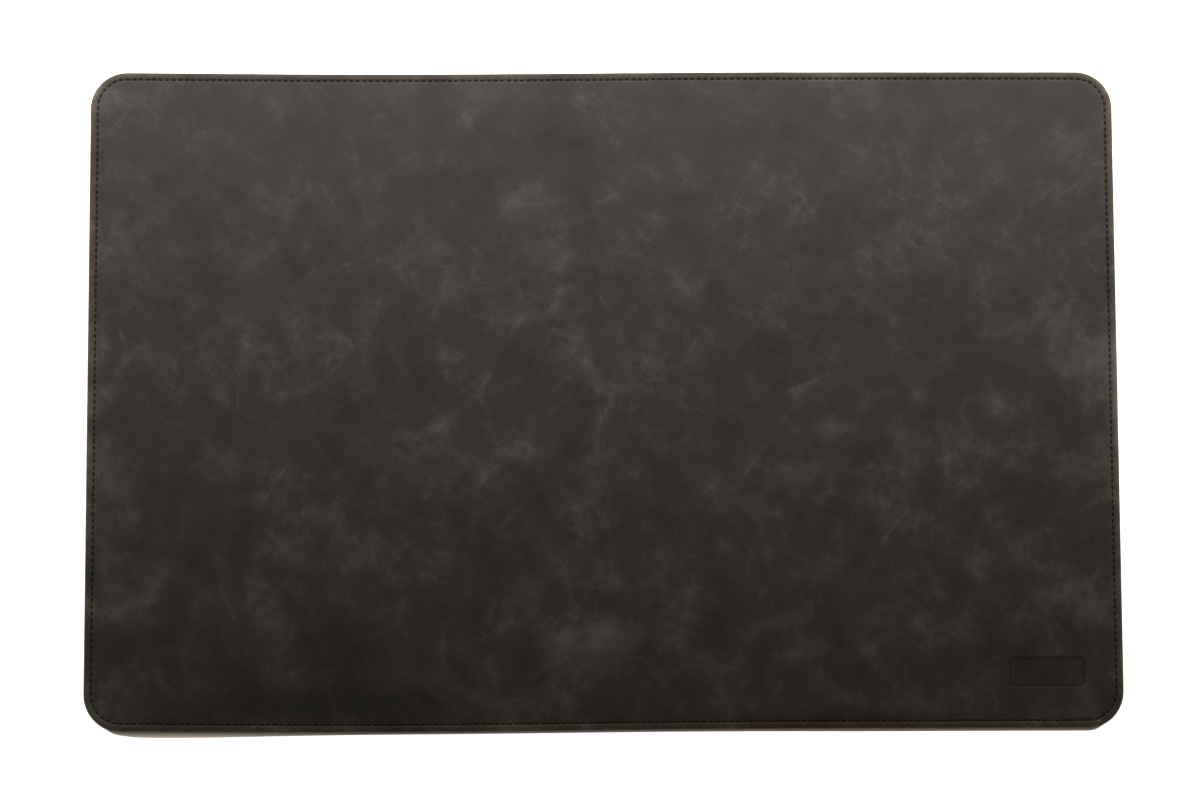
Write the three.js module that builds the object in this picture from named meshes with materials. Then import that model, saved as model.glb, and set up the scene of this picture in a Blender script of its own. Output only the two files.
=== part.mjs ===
// A desk pad with round corners: a leather face, a stiffening board and a suede backing, glued
// up as one laminate, lockstitched all round near the edge and painted on the cut edge.
// Millimetres. The origin is in the middle of the underside. +X runs along the long side, +Y
// away from the person at the desk, and +Z up out of the writing face.

import * as THREE from 'three';

// The finished pad, measured over the painted edge
const PAD_LENGTH = 700;
const PAD_WIDTH = 450;
const CORNER_RADIUS = 25;

// The laminate
const FACE_THICKNESS = 1.4;
const CORE_THICKNESS = 1.2;
const BACKING_THICKNESS = 1.2;
const GLUE_LINE = 0.1;

// The rim: the face rolls down to a thin edge, and paint covers the three cut edges
const FACE_EDGE_THICKNESS = 0.4;
const PAINT_THICKNESS = 0.35;
const PAINT_ROUNDING = 0.8;
const PAINT_BOND = 0.05;
const BACKING_BEVEL = 0.25;

// The seam
const SEAM_INSET = 5;
const STITCH_LENGTH = 4.5;
const NEEDLE_THREAD_WIDTH = 0.8;
const NEEDLE_THREAD_HEIGHT = 0.45;
const NEEDLE_THREAD_ARCH = 0.2;
const NEEDLE_THREAD_SUNK = 0.05;
const BOBBIN_THREAD_WIDTH = 0.7;
const BOBBIN_THREAD_HEIGHT = 0.4;
const BOBBIN_THREAD_ARCH = 0.2;
const PINCH_AT_HOLE = 0.6;
const THREAD_SIDE_GAP = 0.2;
const THREAD_SEAT_GAP = 0.05;
const CHANNEL_LIP = 0.4;

// How closely facets follow the arcs
const FACET_SAG = 0.1;
const RIM_STEPS = 4;
const SECTIONS_PER_STITCH = 2;
const SECTION_CORNERS = 3;

// Sizes that follow from those above
const CUT_INSET = PAINT_THICKNESS + PAINT_BOND;
const CORE_LEVEL = BACKING_THICKNESS + GLUE_LINE;
const FACE_LEVEL = CORE_LEVEL + CORE_THICKNESS + GLUE_LINE;
const FACE_CHANNEL_DEPTH =
  THREAD_SEAT_GAP + NEEDLE_THREAD_ARCH + NEEDLE_THREAD_HEIGHT + NEEDLE_THREAD_SUNK;
const BACKING_CHANNEL_DEPTH = BOBBIN_THREAD_ARCH + BOBBIN_THREAD_HEIGHT + 2 * THREAD_SEAT_GAP;
const CORNER_STEPS = Math.ceil(Math.PI / 4 / Math.acos(1 - FACET_SAG / CORNER_RADIUS));

// The pad's outline, moved in by an inset, as a closed counter-clockwise shape.
function outline(inset) {
  const halfLength = PAD_LENGTH / 2 - inset;
  const halfWidth = PAD_WIDTH / 2 - inset;
  const radius = CORNER_RADIUS - inset;
  const shape = new THREE.Shape();
  const corners = [[1, -1], [1, 1], [-1, 1], [-1, -1]];
  corners.forEach(([sideX, sideY], corner) => {
    const start = (corner - 1) * Math.PI / 2;
    const centreX = sideX * (halfLength - radius);
    const centreY = sideY * (halfWidth - radius);
    shape.absarc(centreX, centreY, radius, start, start + Math.PI / 2, false);
  });
  shape.closePath();
  return shape;
}

// The outline's corner points, with as many on every inset, so that rings can be joined.
function ring(inset) {
  const shape = outline(inset);
  return shape.curves
    .filter((curve) => curve.isEllipseCurve)
    .flatMap((arc) => arc.getPoints(CORNER_STEPS));
}

// A geometry from points and triangles.
function solid(points, triangles) {
  const geometry = new THREE.BufferGeometry();
  geometry.setAttribute('position', new THREE.Float32BufferAttribute(points.flat(), 3));
  geometry.setIndex(triangles.flat());
  geometry.computeVertexNormals();
  return geometry;
}

// Bands of triangles between rings that follow each other, each ring a closed loop of points.
function bands(ringCount, ringSize, closed) {
  const triangles = [];
  const bandCount = closed ? ringCount : ringCount - 1;
  for (let band = 0; band < bandCount; band += 1) {
    const here = band * ringSize;
    const next = ((band + 1) % ringCount) * ringSize;
    for (let step = 0; step < ringSize; step += 1) {
      const following = (step + 1) % ringSize;
      triangles.push([here + step, here + following, next + following]);
      triangles.push([here + step, next + following, next + step]);
    }
  }
  return triangles;
}

// A profile of [inset, height] pairs carried round the outline. An open profile runs from the
// middle of the underside out and back over the top, and its two end rings are closed by flat
// caps. A closed one makes a hoop.
function roundOutline(profile, closed) {
  const rings = profile.map(([inset, height]) => ring(inset).map(({ x, y }) => [x, y, height]));
  const ringSize = rings[0].length;
  const triangles = bands(rings.length, ringSize, closed);
  if (!closed) {
    const lastRing = (rings.length - 1) * ringSize;
    const capPoints = ring(profile[0][0]);
    const cap = THREE.ShapeUtils.triangulateShape(capPoints, []);
    cap.forEach(([a, b, c]) => {
      triangles.push([a, c, b]);
      triangles.push([lastRing + a, lastRing + b, lastRing + c]);
    });
  }
  return solid(rings.flat(), triangles);
}

// The two lips and the floor of a seam channel, from its outer lip to its inner one.
function channel(threadWidth, surface, floor) {
  const floorHalf = threadWidth / 2 + THREAD_SIDE_GAP;
  const lipHalf = floorHalf + CHANNEL_LIP;
  return [
    [SEAM_INSET - lipHalf, surface],
    [SEAM_INSET - floorHalf, floor],
    [SEAM_INSET + floorHalf, floor],
    [SEAM_INSET + lipHalf, surface],
  ];
}

// The face sheet rolls down from the channel's outer lip to its thin edge.
function faceGeometry() {
  const seamChannel = channel(
    NEEDLE_THREAD_WIDTH, FACE_THICKNESS, FACE_THICKNESS - FACE_CHANNEL_DEPTH);
  const rollWidth = seamChannel[0][0] - CUT_INSET;
  const rollHeight = FACE_THICKNESS - FACE_EDGE_THICKNESS;
  const roll = [];
  for (let step = 0; step < RIM_STEPS; step += 1) {
    const angle = step / RIM_STEPS * Math.PI / 2;
    roll.push([
      CUT_INSET + rollWidth * (1 - Math.cos(angle)),
      FACE_EDGE_THICKNESS + rollHeight * Math.sin(angle),
    ]);
  }
  return roundOutline([[CUT_INSET, 0], ...roll, ...seamChannel], false);
}

// The board is a plain die-cut sheet.
function coreGeometry() {
  return new THREE.ExtrudeGeometry(new THREE.Shape(ring(CUT_INSET)), {
    depth: CORE_THICKNESS,
    bevelEnabled: false,
  });
}

// The backing has its seam channel on the underside and a bevelled lower edge.
function backingGeometry() {
  const seamChannel = channel(BOBBIN_THREAD_WIDTH, 0, BACKING_CHANNEL_DEPTH).reverse();
  return roundOutline([
    ...seamChannel,
    [CUT_INSET + BACKING_BEVEL, 0],
    [CUT_INSET, BACKING_BEVEL],
    [CUT_INSET, BACKING_THICKNESS],
  ], false);
}

// The paint is a hoop with a domed outer face, from the backing's bevel to the face's thin edge.
function paintGeometry() {
  const bottom = BACKING_BEVEL;
  const top = FACE_LEVEL + FACE_EDGE_THICKNESS;
  const shoulder = PAINT_ROUNDING * (1 - Math.SQRT1_2);
  const shoulderInset = PAINT_THICKNESS * (1 - Math.SQRT1_2);
  return roundOutline([
    [PAINT_THICKNESS, bottom],
    [shoulderInset, bottom + shoulder],
    [0, bottom + PAINT_ROUNDING],
    [0, top - PAINT_ROUNDING],
    [shoulderInset, top - shoulder],
    [PAINT_THICKNESS, top],
  ], true);
}

// A thread that arches from needle hole to needle hole all along the seam, closed on itself. Its
// section has a flat seat and one crest. crest is 1 for a thread that lies on top and -1 for one
// that lies underneath, and the seat touches height 0 at the holes.
function threadGeometry(width, height, arch, crest) {
  const seam = outline(SEAM_INSET);
  const stitches = Math.round(seam.getLength() / STITCH_LENGTH);
  const sections = stitches * SECTIONS_PER_STITCH;
  const points = [];
  for (let section = 0; section < sections; section += 1) {
    const place = section / sections;
    const centre = seam.getPoint(place);
    const along = seam.getTangent(place);
    const phase = section / SECTIONS_PER_STITCH * 2 * Math.PI;
    const rise = (1 - Math.cos(phase)) / 2;
    const half = crest * width / 2 * (PINCH_AT_HOLE + (1 - PINCH_AT_HOLE) * rise);
    const seat = crest * arch * rise;
    const outward = [along.y * half, -along.x * half];
    points.push([centre.x - outward[0], centre.y - outward[1], seat]);
    points.push([centre.x, centre.y, seat + crest * height]);
    points.push([centre.x + outward[0], centre.y + outward[1], seat]);
  }
  return solid(points, bands(sections, SECTION_CORNERS, true));
}

// One sub-part: its geometry in its own material, at its level in the laminate.
function piece(name, geometry, level, material) {
  const mesh = new THREE.Mesh(geometry, new THREE.MeshStandardMaterial(material));
  mesh.name = name;
  mesh.position.z = level;
  return mesh;
}

const charcoalLeather = { color: 0x3a3632, roughness: 0.6, metalness: 0 };
const leatherBoard = { color: 0x6b5444, roughness: 0.85, metalness: 0 };
const darkSuede = { color: 0x2b2a29, roughness: 0.95, metalness: 0 };
const blackThread = { color: 0x121212, roughness: 0.7, metalness: 0 };
const darkPaint = { color: 0x3e3930, roughness: 0.45, metalness: 0 };

const pad = new THREE.Group();

const sheets = new THREE.Group();
sheets.add(piece('backing_suede', backingGeometry(), 0, darkSuede));
sheets.add(piece('core_board', coreGeometry(), CORE_LEVEL, leatherBoard));
sheets.add(piece('face_leather', faceGeometry(), FACE_LEVEL, charcoalLeather));
pad.add(sheets);

const needleSeat = FACE_LEVEL + FACE_THICKNESS - FACE_CHANNEL_DEPTH + THREAD_SEAT_GAP;
const bobbinSeat = BACKING_CHANNEL_DEPTH - THREAD_SEAT_GAP;
const needleThread = threadGeometry(
  NEEDLE_THREAD_WIDTH, NEEDLE_THREAD_HEIGHT, NEEDLE_THREAD_ARCH, 1);
const bobbinThread = threadGeometry(
  BOBBIN_THREAD_WIDTH, BOBBIN_THREAD_HEIGHT, BOBBIN_THREAD_ARCH, -1);
const seam = new THREE.Group();
seam.add(piece('needle_thread', needleThread, needleSeat, blackThread));
seam.add(piece('bobbin_thread', bobbinThread, bobbinSeat, blackThread));
pad.add(seam);

pad.add(piece('edge_paint', paintGeometry(), 0, darkPaint));

export default pad;
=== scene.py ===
"""Dresses the desk pad: a leather face, a fibre board and a suede backing, sewn and edge painted.

Metres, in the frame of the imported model: the origin is in the middle of the underside, +X runs
along the long side, +Y away from the person at the desk and +Z up out of the writing face.
"""

from __future__ import annotations

import logging
import math
from dataclasses import dataclass, field
from enum import Enum

import bpy
import numpy as np
from mathutils import Euler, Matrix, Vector
from mathutils.geometry import delaunay_2d_cdt


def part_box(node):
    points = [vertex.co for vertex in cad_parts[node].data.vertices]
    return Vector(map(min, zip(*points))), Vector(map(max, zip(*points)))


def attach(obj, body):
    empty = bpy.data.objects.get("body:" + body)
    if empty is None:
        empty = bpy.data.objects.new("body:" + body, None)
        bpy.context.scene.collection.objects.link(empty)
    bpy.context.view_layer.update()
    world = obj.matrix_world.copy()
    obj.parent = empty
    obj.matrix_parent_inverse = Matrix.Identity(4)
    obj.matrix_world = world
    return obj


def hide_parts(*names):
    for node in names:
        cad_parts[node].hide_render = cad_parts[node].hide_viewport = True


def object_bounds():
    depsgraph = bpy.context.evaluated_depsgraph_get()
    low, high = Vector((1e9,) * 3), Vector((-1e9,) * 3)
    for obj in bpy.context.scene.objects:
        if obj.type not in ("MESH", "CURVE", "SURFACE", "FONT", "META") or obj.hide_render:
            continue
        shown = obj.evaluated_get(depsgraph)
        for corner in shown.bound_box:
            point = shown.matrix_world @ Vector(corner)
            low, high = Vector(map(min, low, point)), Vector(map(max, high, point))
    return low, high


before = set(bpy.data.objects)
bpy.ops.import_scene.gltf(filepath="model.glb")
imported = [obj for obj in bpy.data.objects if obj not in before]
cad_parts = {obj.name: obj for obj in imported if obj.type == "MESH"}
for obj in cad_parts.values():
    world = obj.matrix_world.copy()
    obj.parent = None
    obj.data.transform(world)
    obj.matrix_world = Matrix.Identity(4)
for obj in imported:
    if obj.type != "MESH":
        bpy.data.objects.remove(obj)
CAD_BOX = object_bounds()

MM = 0.001
BODY = "root"
LOG = logging.getLogger("desk_pad")
# How far a noise strays from a half, near enough.
NOISE_SWING = 0.25

Colour = tuple[float, float, float]
Socket = bpy.types.NodeSocket


class Side(Enum):
    """The two faces of the pad that the seam shows on. The value is the way up of that face."""

    TOP = 1
    UNDER = -1


def smooth_step(values: np.ndarray, low: float, high: float) -> np.ndarray:
    """Eases numbers from 0 at low to 1 at high. Where low is above high, the step falls."""
    share = np.clip((values - low) / (high - low), 0.0, 1.0)
    return share * share * (3.0 - 2.0 * share)


def past_outline(points: np.ndarray, half: np.ndarray, radius: float) -> np.ndarray:
    """How far points lie outside a rectangle with round corners.

    Args:
        points: Points from the rectangle's middle, two numbers each.
        half: Half lengths of its straight stretches.
        radius: The radius of its corners.

    Returns:
        The distances, below 0 inside the outline.
    """
    past = np.abs(points) - half
    outside = np.linalg.norm(np.maximum(past, 0.0), axis=1)
    inside = np.minimum(past.max(axis=1), 0.0)
    return outside + inside - radius


def at_level(flat: np.ndarray, level: np.ndarray | float) -> np.ndarray:
    """Flat points set at one level, or each at its own."""
    return np.column_stack([flat, np.broadcast_to(level, len(flat))])


@dataclass(frozen=True)
class SeamPath:
    """The closed line of the seam, a rounded rectangle, and the lines parallel to it.

    Distances along it start where the front right corner begins and run counter-clockwise.
    """

    length: float
    width: float
    corner_radius: float = 25.0 * MM
    inset: float = 5.0 * MM
    stitch_length: float = 4.5 * MM

    @property
    def radius(self) -> float:
        """The seam's own corner radius."""
        return self.corner_radius - self.inset

    @property
    def straight_half(self) -> np.ndarray:
        """Half lengths of the straight stretches along X and Y."""
        return np.array([self.length, self.width]) / 2 - self.corner_radius

    @property
    def runs(self) -> np.ndarray:
        """Lengths of the eight stretches, an arc and a straight in turn."""
        arc = self.radius * math.pi / 2
        along, across = 2 * self.straight_half
        return np.array([arc, across, arc, along] * 2)

    @property
    def perimeter(self) -> float:
        """The seam's length all round."""
        return float(self.runs.sum())

    @property
    def stitches(self) -> int:
        """How many stitches go round."""
        return round(self.perimeter / self.stitch_length)

    @property
    def pitch(self) -> float:
        """The distance from needle hole to needle hole."""
        return self.perimeter / self.stitches

    def stations(self, distances: np.ndarray) -> tuple[np.ndarray, np.ndarray]:
        """Finds points on the seam.

        Args:
            distances: Distances along the seam.

        Returns:
            The points and the outward directions there, two numbers each.
        """
        runs = self.runs
        ends = np.cumsum(runs)
        distances = np.mod(distances, self.perimeter)
        stretch = np.minimum(np.searchsorted(ends, distances, side="right"), len(runs) - 1)
        gone = distances - (ends - runs)[stretch]
        corner = stretch // 2
        on_arc = stretch % 2 == 0
        quarter = math.pi / 2
        angle = (corner - 1) * quarter + np.where(on_arc, gone / self.radius, quarter)
        outward = np.stack([np.cos(angle), np.sin(angle)], axis=-1)
        tangent = np.stack([-outward[..., 1], outward[..., 0]], axis=-1)
        signs = np.array([[1, -1], [1, 1], [-1, 1], [-1, -1]])[corner]
        points = signs * self.straight_half + outward * self.radius
        points = points + tangent * np.where(on_arc, 0.0, gone)[..., None]
        return points, outward

    def parallel(self, distances: np.ndarray, inset: float) -> np.ndarray:
        """Points on the line that runs at another inset from the finished edge."""
        points, outward = self.stations(distances)
        return points + outward * (self.inset - inset)

    def inset_of(self, points: np.ndarray) -> np.ndarray:
        """How far in from the finished edge points lie, of two or three numbers each."""
        return -past_outline(points[:, :2], self.straight_half, self.corner_radius)


@dataclass(frozen=True)
class Lay:
    """How the laminate lies on the desk: slow waves, a bow along it and one corner a little up."""

    wave_height: float = 0.22 * MM
    wave_length: tuple[float, float] = (0.31, 0.24)
    wave_phase: tuple[float, float] = (1.0, -0.7)
    wave_turn: float = 0.6
    bow: float = 1.65 * MM
    bow_middle: float = -0.151
    bow_reach: float = 0.28
    raised_corner: tuple[float, float] = (-0.35, -0.225)
    corner_lift: float = 1.1 * MM
    corner_reach: float = 0.13

    def apply(self, points: np.ndarray) -> np.ndarray:
        """Lays flat points as the pad lies.

        Args:
            points: Points of the flat pad, three numbers each.

        Returns:
            The same points where the pad lies.
        """
        x, y, z = points.T
        across = x * math.cos(self.wave_turn) + y * math.sin(self.wave_turn)
        upward = y * math.cos(self.wave_turn) - x * math.sin(self.wave_turn)
        wave = 0.0
        for place, length, phase in zip((across, upward), self.wave_length, self.wave_phase):
            wave = wave + np.sin(2 * math.pi * place / length + phase)
        lift = self.wave_height * (wave + 2.0) / 2.0
        to_raised = np.hypot(x - self.raised_corner[0], y - self.raised_corner[1])
        lift = lift + self.corner_lift * smooth_step(to_raised, self.corner_reach, 0.0)
        bow = self.bow * smooth_step(np.abs(x - self.bow_middle), self.bow_reach, 0.0)
        return np.stack([x, y - bow, z + lift], axis=1)


@dataclass
class Skin:
    """Points and faces gathered for one mesh, in flat places."""

    points: list[np.ndarray] = field(default_factory=list)
    faces: list[list[int]] = field(default_factory=list)
    count: int = 0

    def add_points(self, points: np.ndarray) -> int:
        """Adds points.

        Args:
            points: Points, three numbers each.

        Returns:
            The index of the first of them.
        """
        first = self.count
        self.points.append(points)
        self.count += len(points)
        return first

    def add_faces(self, faces: np.ndarray | list[list[int]]) -> None:
        """Adds faces by the indices of their points."""
        self.faces.extend(np.asarray(faces).tolist())

    def add_bands(self, first: int, rings: int, size: int, closed: bool = False) -> None:
        """Adds bands of quads between closed rings of points that follow each other.

        Args:
            first: The index of the first ring's first point.
            rings: How many rings there are.
            size: How many points a ring has.
            closed: Whether the last ring joins the first one.
        """
        bands = rings if closed else rings - 1
        ring = np.arange(bands)[:, None]
        step = np.arange(size)[None, :]
        here = first + ring * size
        following = first + (ring + 1) % rings * size
        after = (step + 1) % size
        quads = [here + step, here + after, following + after, following + step]
        self.add_faces(np.stack(quads, axis=-1).reshape(-1, 4))

    def piece(self, name: str, lay: Lay, crease: float = 40.0) -> bpy.types.Object:
        """Makes the mesh object, laid as the pad lies and shaded smooth.

        Args:
            name: The object's name.
            lay: How the pad lies.
            crease: The angle in degrees from which an edge stays sharp.

        Returns:
            The new object, linked to the scene.
        """
        mesh = bpy.data.meshes.new(name)
        mesh.from_pydata(lay.apply(np.concatenate(self.points)).tolist(), [], self.faces)
        mesh.validate()
        mesh.shade_smooth()
        mesh.set_sharp_from_angle(angle=math.radians(crease))
        return link(bpy.data.objects.new(name, mesh))


def link(made: bpy.types.Object) -> bpy.types.Object:
    """Links a new object to the scene and hands it back."""
    bpy.context.scene.collection.objects.link(made)
    return made


def store(mesh: bpy.types.Mesh, name: str, values: np.ndarray) -> None:
    """Stores a number or a colour at every point of a mesh, for its finish to read.

    Args:
        mesh: The mesh.
        name: What the finish reads it by.
        values: One number, or one colour of four, for each point.
    """
    kind, part = ("FLOAT", "value") if values.ndim == 1 else ("FLOAT_COLOR", "color")
    made = mesh.attributes.new(name, kind, "POINT")
    made.data.foreach_set(part, values.astype(np.float32).ravel())


def fill_ring(ring: np.ndarray, loose: np.ndarray) -> np.ndarray:
    """Fills a closed ring with triangles that also use loose points inside it.

    Args:
        ring: The ring's points in counter-clockwise order, two numbers each.
        loose: Points inside the ring, two numbers each.

    Returns:
        Triangles as indices, ring points first and loose points after them.
    """
    flat = np.concatenate([ring, loose])
    loop = list(range(len(ring)))
    inside_only = 1
    merge_distance = 1e-7
    spots = [Vector(point) for point in flat.tolist()]
    made = delaunay_2d_cdt(spots, [], [loop], inside_only, merge_distance)
    origin = np.array([sources[0] for sources in made[3]])
    triangles = origin[np.array(made[2])]
    a, b, c = (flat[triangles[:, corner]] for corner in range(3))
    turn = np.cross(b - a, c - a)
    triangles[turn < 0] = triangles[turn < 0][:, ::-1]
    return triangles


def grid_inside(path: SeamPath, inset: float, spacing: float) -> np.ndarray:
    """A square grid of points that keeps clear of a line parallel to the seam.

    Args:
        path: The seam.
        inset: The inset of the line that bounds the grid.
        spacing: The distance between neighbours.

    Returns:
        The points, two numbers each.
    """
    sides = (path.length / 2, path.width / 2)
    x, y = np.meshgrid(*(np.arange(-side, side, spacing) + spacing / 2 for side in sides))
    points = np.stack([x.ravel(), y.ravel()], axis=1)
    return points[path.inset_of(points) > inset + spacing / 2]


def linear(red: int, green: int, blue: int) -> Colour:
    """A colour as seen on a screen, from 0 to 255, in the linear numbers that shaders take."""
    shares = (red / 255, green / 255, blue / 255)
    made = [s / 12.92 if s <= 0.04045 else ((s + 0.055) / 1.055) ** 2.4 for s in shares]
    return made[0], made[1], made[2]


class Graph:
    """A material's node tree, with short calls for the nodes that the finishes share."""

    def __init__(self, name: str) -> None:
        """Starts a material with one principled shader.

        Args:
            name: The material's name.
        """
        self.material = bpy.data.materials.new(name)
        self.material.use_nodes = True
        self.tree = self.material.node_tree
        self.tree.nodes.clear()
        self.shader = self.add("ShaderNodeBsdfPrincipled")
        self.output = self.add("ShaderNodeOutputMaterial", {"Surface": self.shader.outputs["BSDF"]})
        self.place = self.add("ShaderNodeTexCoord").outputs["Object"]

    def add(
        self,
        kind: str,
        fed: dict[str | int, Socket | float | Colour] | None = None,
        **settings: object,
    ) -> bpy.types.ShaderNode:
        """Adds a node.

        Args:
            kind: The node's type name.
            fed: What its inputs take, by their names or places.
            **settings: Properties to set on it.

        Returns:
            The new node.
        """
        node = self.tree.nodes.new(kind)
        for name, value in settings.items():
            setattr(node, name, value)
        for name, source in (fed or {}).items():
            self.feed(node.inputs[name], source)
        return node

    def feed(self, target: Socket, source: Socket | float | Colour) -> None:
        """Links a socket to another one, or sets it to a constant."""
        if isinstance(source, Socket):
            self.tree.links.new(source, target)
        else:
            target.default_value = source

    def math(self, operation: str, *numbers: Socket | float) -> Socket:
        """One sum on numbers, by a Math node's operation."""
        return self.add("ShaderNodeMath", dict(enumerate(numbers)), operation=operation).outputs[0]

    def vector(self, operation: str, *vectors: Socket | Colour) -> Socket:
        """One sum on vectors, by a Vector Math node's operation."""
        node = self.add("ShaderNodeVectorMath", dict(enumerate(vectors)), operation=operation)
        return node.outputs[0]

    def total(self, *parts: tuple[Socket, float]) -> Socket:
        """A weighted sum.

        Args:
            *parts: Pairs of a socket and its weight.

        Returns:
            The sum's socket.
        """
        made = self.math("MULTIPLY", *parts[0])
        for source, weight in parts[1:]:
            made = self.math("ADD", made, self.math("MULTIPLY", source, weight))
        return made

    def step(self, value: Socket, low: float, high: float) -> Socket:
        """Eases a number from 0 at low to 1 at high.

        Args:
            value: The number.
            low: Where the rise begins.
            high: Where it ends.

        Returns:
            The eased number's socket.
        """
        fed = {"Value": value, "From Min": low, "From Max": high}
        node = self.add("ShaderNodeMapRange", fed, interpolation_type="SMOOTHSTEP")
        return node.outputs["Result"]

    def stored(self, name: str, part: str = "Fac") -> Socket:
        """What the mesh holds at its points: a number, or the Color part."""
        return self.add("ShaderNodeAttribute", attribute_name=name).outputs[part]

    def turned(self, place: Socket, angle: float, squeeze: float) -> Socket:
        """A place on the piece, turned and squeezed, for patterns with a direction.

        Args:
            place: The coordinates.
            angle: The direction in degrees, from +X.
            squeeze: The factor along the direction, below 1 for long features.

        Returns:
            The new coordinates' socket.
        """
        fed = {"Vector": place, "Angle": -math.radians(angle)}
        turn = self.add("ShaderNodeVectorRotate", fed, rotation_type="Z_AXIS")
        return self.vector("MULTIPLY", turn.outputs[0], (squeeze, 1.0, 1.0))

    def warped(self, feature: float, amount: float) -> Socket:
        """The place on the piece, pushed to and fro, for patterns that drift.

        Args:
            feature: The size of the pushes in metres.
            amount: How far they reach in metres.

        Returns:
            The new coordinates' socket.
        """
        push = self.add("ShaderNodeTexNoise", {"Vector": self.place, "Scale": 1.0 / feature})
        centred = self.vector("SUBTRACT", push.outputs["Color"], (0.5, 0.5, 0.5))
        reach = amount / NOISE_SWING
        return self.vector("MULTIPLY_ADD", centred, (reach, reach, 0.0), self.place)

    def tinted(self, colour: Socket, share: Socket, tint: Colour) -> Socket:
        """A colour that is multiplied by a tint as far as a share says.

        Args:
            colour: The colour.
            share: 0 where the colour stays and 1 where the tint is full.
            tint: The factors.

        Returns:
            The new colour's socket.
        """
        factors = [part - 1.0 for part in tint]
        extra = self.add("ShaderNodeVectorMath", {0: factors, "Scale": share}, operation="SCALE")
        return self.vector("MULTIPLY_ADD", extra.outputs[0], colour, colour)

    def noise(
        self,
        feature: float,
        detail: float = 3.0,
        roughness: float = 0.55,
        distortion: float = 0.0,
        vector: Socket | None = None,
        seed: float = 0.0,
    ) -> Socket:
        """Cloudy noise about a half.

        Args:
            feature: The size of its largest features in metres.
            detail: How many finer layers it has.
            roughness: How strong the finer layers are.
            distortion: How much it is stirred.
            vector: Coordinates, or None for the place on the piece.
            seed: A number that makes it unlike noises with another seed.

        Returns:
            The noise's socket.
        """
        fed = {
            "Vector": vector or self.place,
            "W": seed,
            "Scale": 1.0 / feature,
            "Detail": detail,
            "Roughness": roughness,
            "Distortion": distortion,
        }
        return self.add("ShaderNodeTexNoise", fed, noise_dimensions="4D").outputs["Fac"]

    def ridge(self, noise: Socket, sharpness: float) -> Socket:
        """Lines where a noise passes through a half, thinner the sharper: 1 on them, 0 beside them."""
        away = self.math("ABSOLUTE", self.math("MULTIPLY_ADD", noise, 2.0, -1.0))
        return self.math("POWER", self.math("SUBTRACT", 1.0, away), sharpness)

    def ramp(self, factor: Socket, *stops: tuple[float, Colour]) -> Socket:
        """Colours along a number.

        Args:
            factor: The number, from 0 to 1.
            *stops: Places along it, each with its colour.

        Returns:
            The colour's socket.
        """
        node = self.add("ShaderNodeValToRGB", {"Fac": factor})
        bands = node.color_ramp.elements
        while len(bands) < len(stops):
            bands.new(0.5)
        for band, (place, colour) in zip(bands, stops):
            band.position = place
            band.color = (*colour, 1.0)
        return node.outputs["Color"]

    def finish(
        self,
        colour: Socket,
        roughness: Socket,
        relief: Socket,
        depth: float,
        **constants: float,
    ) -> bpy.types.Material:
        """Feeds the shader.

        Args:
            colour: The base colour.
            roughness: The roughness.
            relief: The surface's fine relief, from 0 to 1.
            depth: How high 1 stands in the relief, in metres.
            **constants: Other inputs by name, with _ for a space, each one value all over.

        Returns:
            The finished material.
        """
        bump = self.add("ShaderNodeBump", {"Height": relief, "Distance": depth})
        fed = {"Base_Color": colour, "Roughness": roughness, "Normal": bump.outputs["Normal"]}
        for name, source in (fed | constants).items():
            self.feed(self.shader.inputs[name.replace("_", " ")], source)
        return self.material


@dataclass(frozen=True)
class Mark:
    """A soft patch, pale or dark, of the hide or of painted light and shade, or a long thin one where
    the hide was once folded.
    """

    x: float
    y: float
    half_length: float
    half_width: float
    turn: float
    strength: float
    fade: float = 1.5

    def tone(self, graph: Graph, place: Socket) -> Socket:
        """How much of the mark shows.

        Args:
            graph: The material's tree.
            place: Coordinates on the hide.

        Returns:
            A number that is 1 in the mark's middle and 0 outside it.
        """
        fed = {
            "Vector": place,
            "Location": (self.x * MM, self.y * MM, 0.0),
            "Rotation": (0.0, 0.0, math.radians(self.turn)),
            "Scale": (self.half_length * MM, self.half_width * MM, 1.0),
        }
        local = graph.add("ShaderNodeMapping", fed, vector_type="TEXTURE").outputs["Vector"]
        away = graph.add("ShaderNodeVectorMath", {0: local}, operation="LENGTH").outputs["Value"]
        return graph.math("POWER", graph.step(away, 1.0, 0.0), self.fade)


# Places and half sizes in millimetres, turns in degrees.
BLOOMS = (
    Mark(-13, -164, 45, 38, 0, 0.25),
    Mark(-4, -167, 22, 16, 0, 0.08),
    Mark(-332, -197, 42, 26, 0, 0.20),
    Mark(-59, 133, 24, 22, 0, 0.10),
    Mark(-106, 30, 26, 14, -15, 0.18),
    Mark(-29, 5, 20, 24, 0, 0.11),
    Mark(-53, -40, 33, 14, 0, 0.16),
    Mark(-319, -146, 27, 18, 20, 0.14),
    Mark(-114, -20, 36, 9, 18, 0.19),
    Mark(154, -23, 33, 14, 10, 0.16),
    Mark(180, -77, 18, 22, 0, 0.14),
    Mark(256, -113, 14, 21, -20, 0.18),
    Mark(333, -149, 18, 24, 0, 0.29),
    Mark(82, -100, 16, 15, 0, 0.16),
    Mark(312, 35, 36, 30, 0, 0.10),
    Mark(196, -162, 63, 14, 33, 0.16),
    Mark(-280, 6, 36, 27, 0, 0.10),
    # Paler along the left and right edges; along the right this is painted light.
    Mark(-350, -10, 230, 34, 90, 0.20),
    Mark(350, 0, 260, 36, 90, 0.29),
    # A painted highlight near the back left corner.
    Mark(-336, 208, 34, 22, 45, 0.16),
    Mark(121, -150, 45, 32, 0, 0.15),
    Mark(20, -174, 42, 32, 0, 0.13),
    Mark(150, -172, 62, 24, 0, 0.14),
    Mark(-328, -135, 36, 56, 0, 0.15),
    Mark(318, -135, 38, 54, 0, 0.12),
    Mark(-322, 172, 44, 38, 0, 0.15),
    Mark(315, 105, 36, 38, 0, 0.15),
    Mark(185, 30, 75, 24, 0, 0.11),
)
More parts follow.
